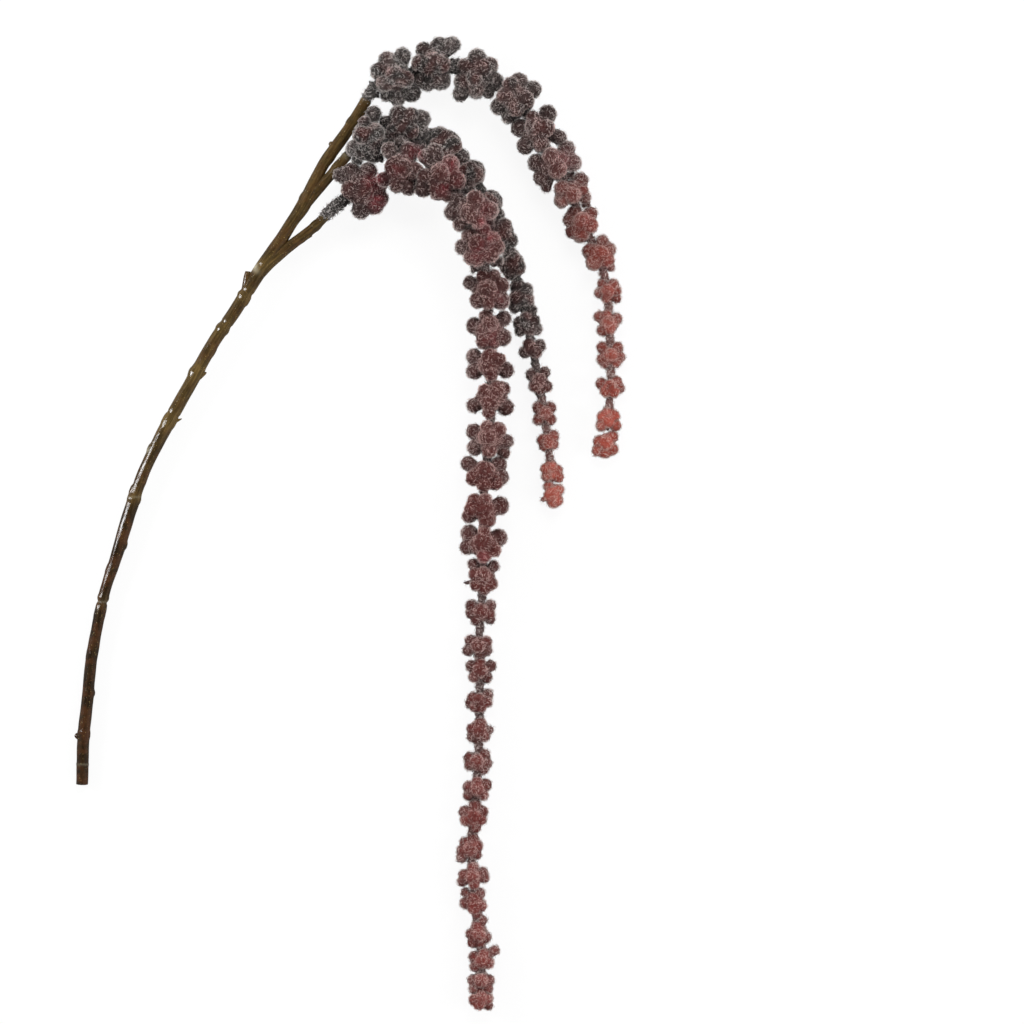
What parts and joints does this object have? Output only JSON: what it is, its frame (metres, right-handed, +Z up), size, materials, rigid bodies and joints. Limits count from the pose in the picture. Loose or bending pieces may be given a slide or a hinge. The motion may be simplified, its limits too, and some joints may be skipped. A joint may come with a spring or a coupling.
{
  "type": "artificial hanging amaranth spray",
  "caption": "Artificial hanging amaranth spray, laid down: a forked brown plastic stem with drooping flocked tassels of lobed florets, from charcoal to rose.",
  "frame": {"origin": "on the surface that the spray lies on, under the middle of its box", "axes": "+Y from the cut end of the stem to the top of the arch, +Z up from the surface"},
  "size_m": [0.3038, 0.5336, 0.0485],
  "materials": {
    "stem_plastic": "moulded dark brown plastic with olive patches and a soft gloss",
    "flocked_core": "thin core covered in grey and burgundy flock",
    "flock": "short matt flock fibres, charcoal to burgundy, rose towards the tassel tips"
  },
  "bodies": {
    "root": {"stem": "stem_plastic", "upper_core": "flocked_core", "middle_core": "flocked_core", "long_core": "flocked_core", "upper_floret_01": "flock", "upper_floret_02": "flock", "upper_floret_03": "flock", "upper_floret_04": "flock", "upper_floret_05": "flock", "upper_floret_06": "flock", "upper_floret_07": "flock", "upper_floret_08": "flock", "upper_floret_09": "flock", "upper_floret_10": "flock", "upper_floret_11": "flock", "upper_floret_12": "flock", "upper_floret_13": "flock", "upper_floret_14": "flock", "middle_floret_01": "flock", "middle_floret_02": "flock", "middle_floret_03": "flock", "middle_floret_04": "flock", "middle_floret_05": "flock", "middle_floret_06": "flock", "middle_floret_07": "flock", "middle_floret_08": "flock", "middle_floret_09": "flock", "middle_floret_10": "flock", "middle_floret_11": "flock", "middle_floret_12": "flock", "middle_floret_13": "flock", "middle_floret_14": "flock", "long_floret_01": "flock", "long_floret_02": "flock", "long_floret_03": "flock", "long_floret_04": "flock", "long_floret_05": "flock", "long_floret_06": "flock", "long_floret_07": "flock", "long_floret_08": "flock", "long_floret_09": "flock", "long_floret_10": "flock", "long_floret_11": "flock", "long_floret_12": "flock", "long_floret_13": "flock", "long_floret_14": "flock", "long_floret_15": "flock", "long_floret_16": "flock", "long_floret_17": "flock", "long_floret_18": "flock", "long_floret_19": "flock", "long_floret_20": "flock", "long_floret_21": "flock", "long_floret_22": "flock", "long_floret_23": "flock", "long_floret_24": "flock", "long_floret_25": "flock", "long_floret_26": "flock", "long_floret_27": "flock", "long_floret_28": "flock"}
  },
  "joints": []
}
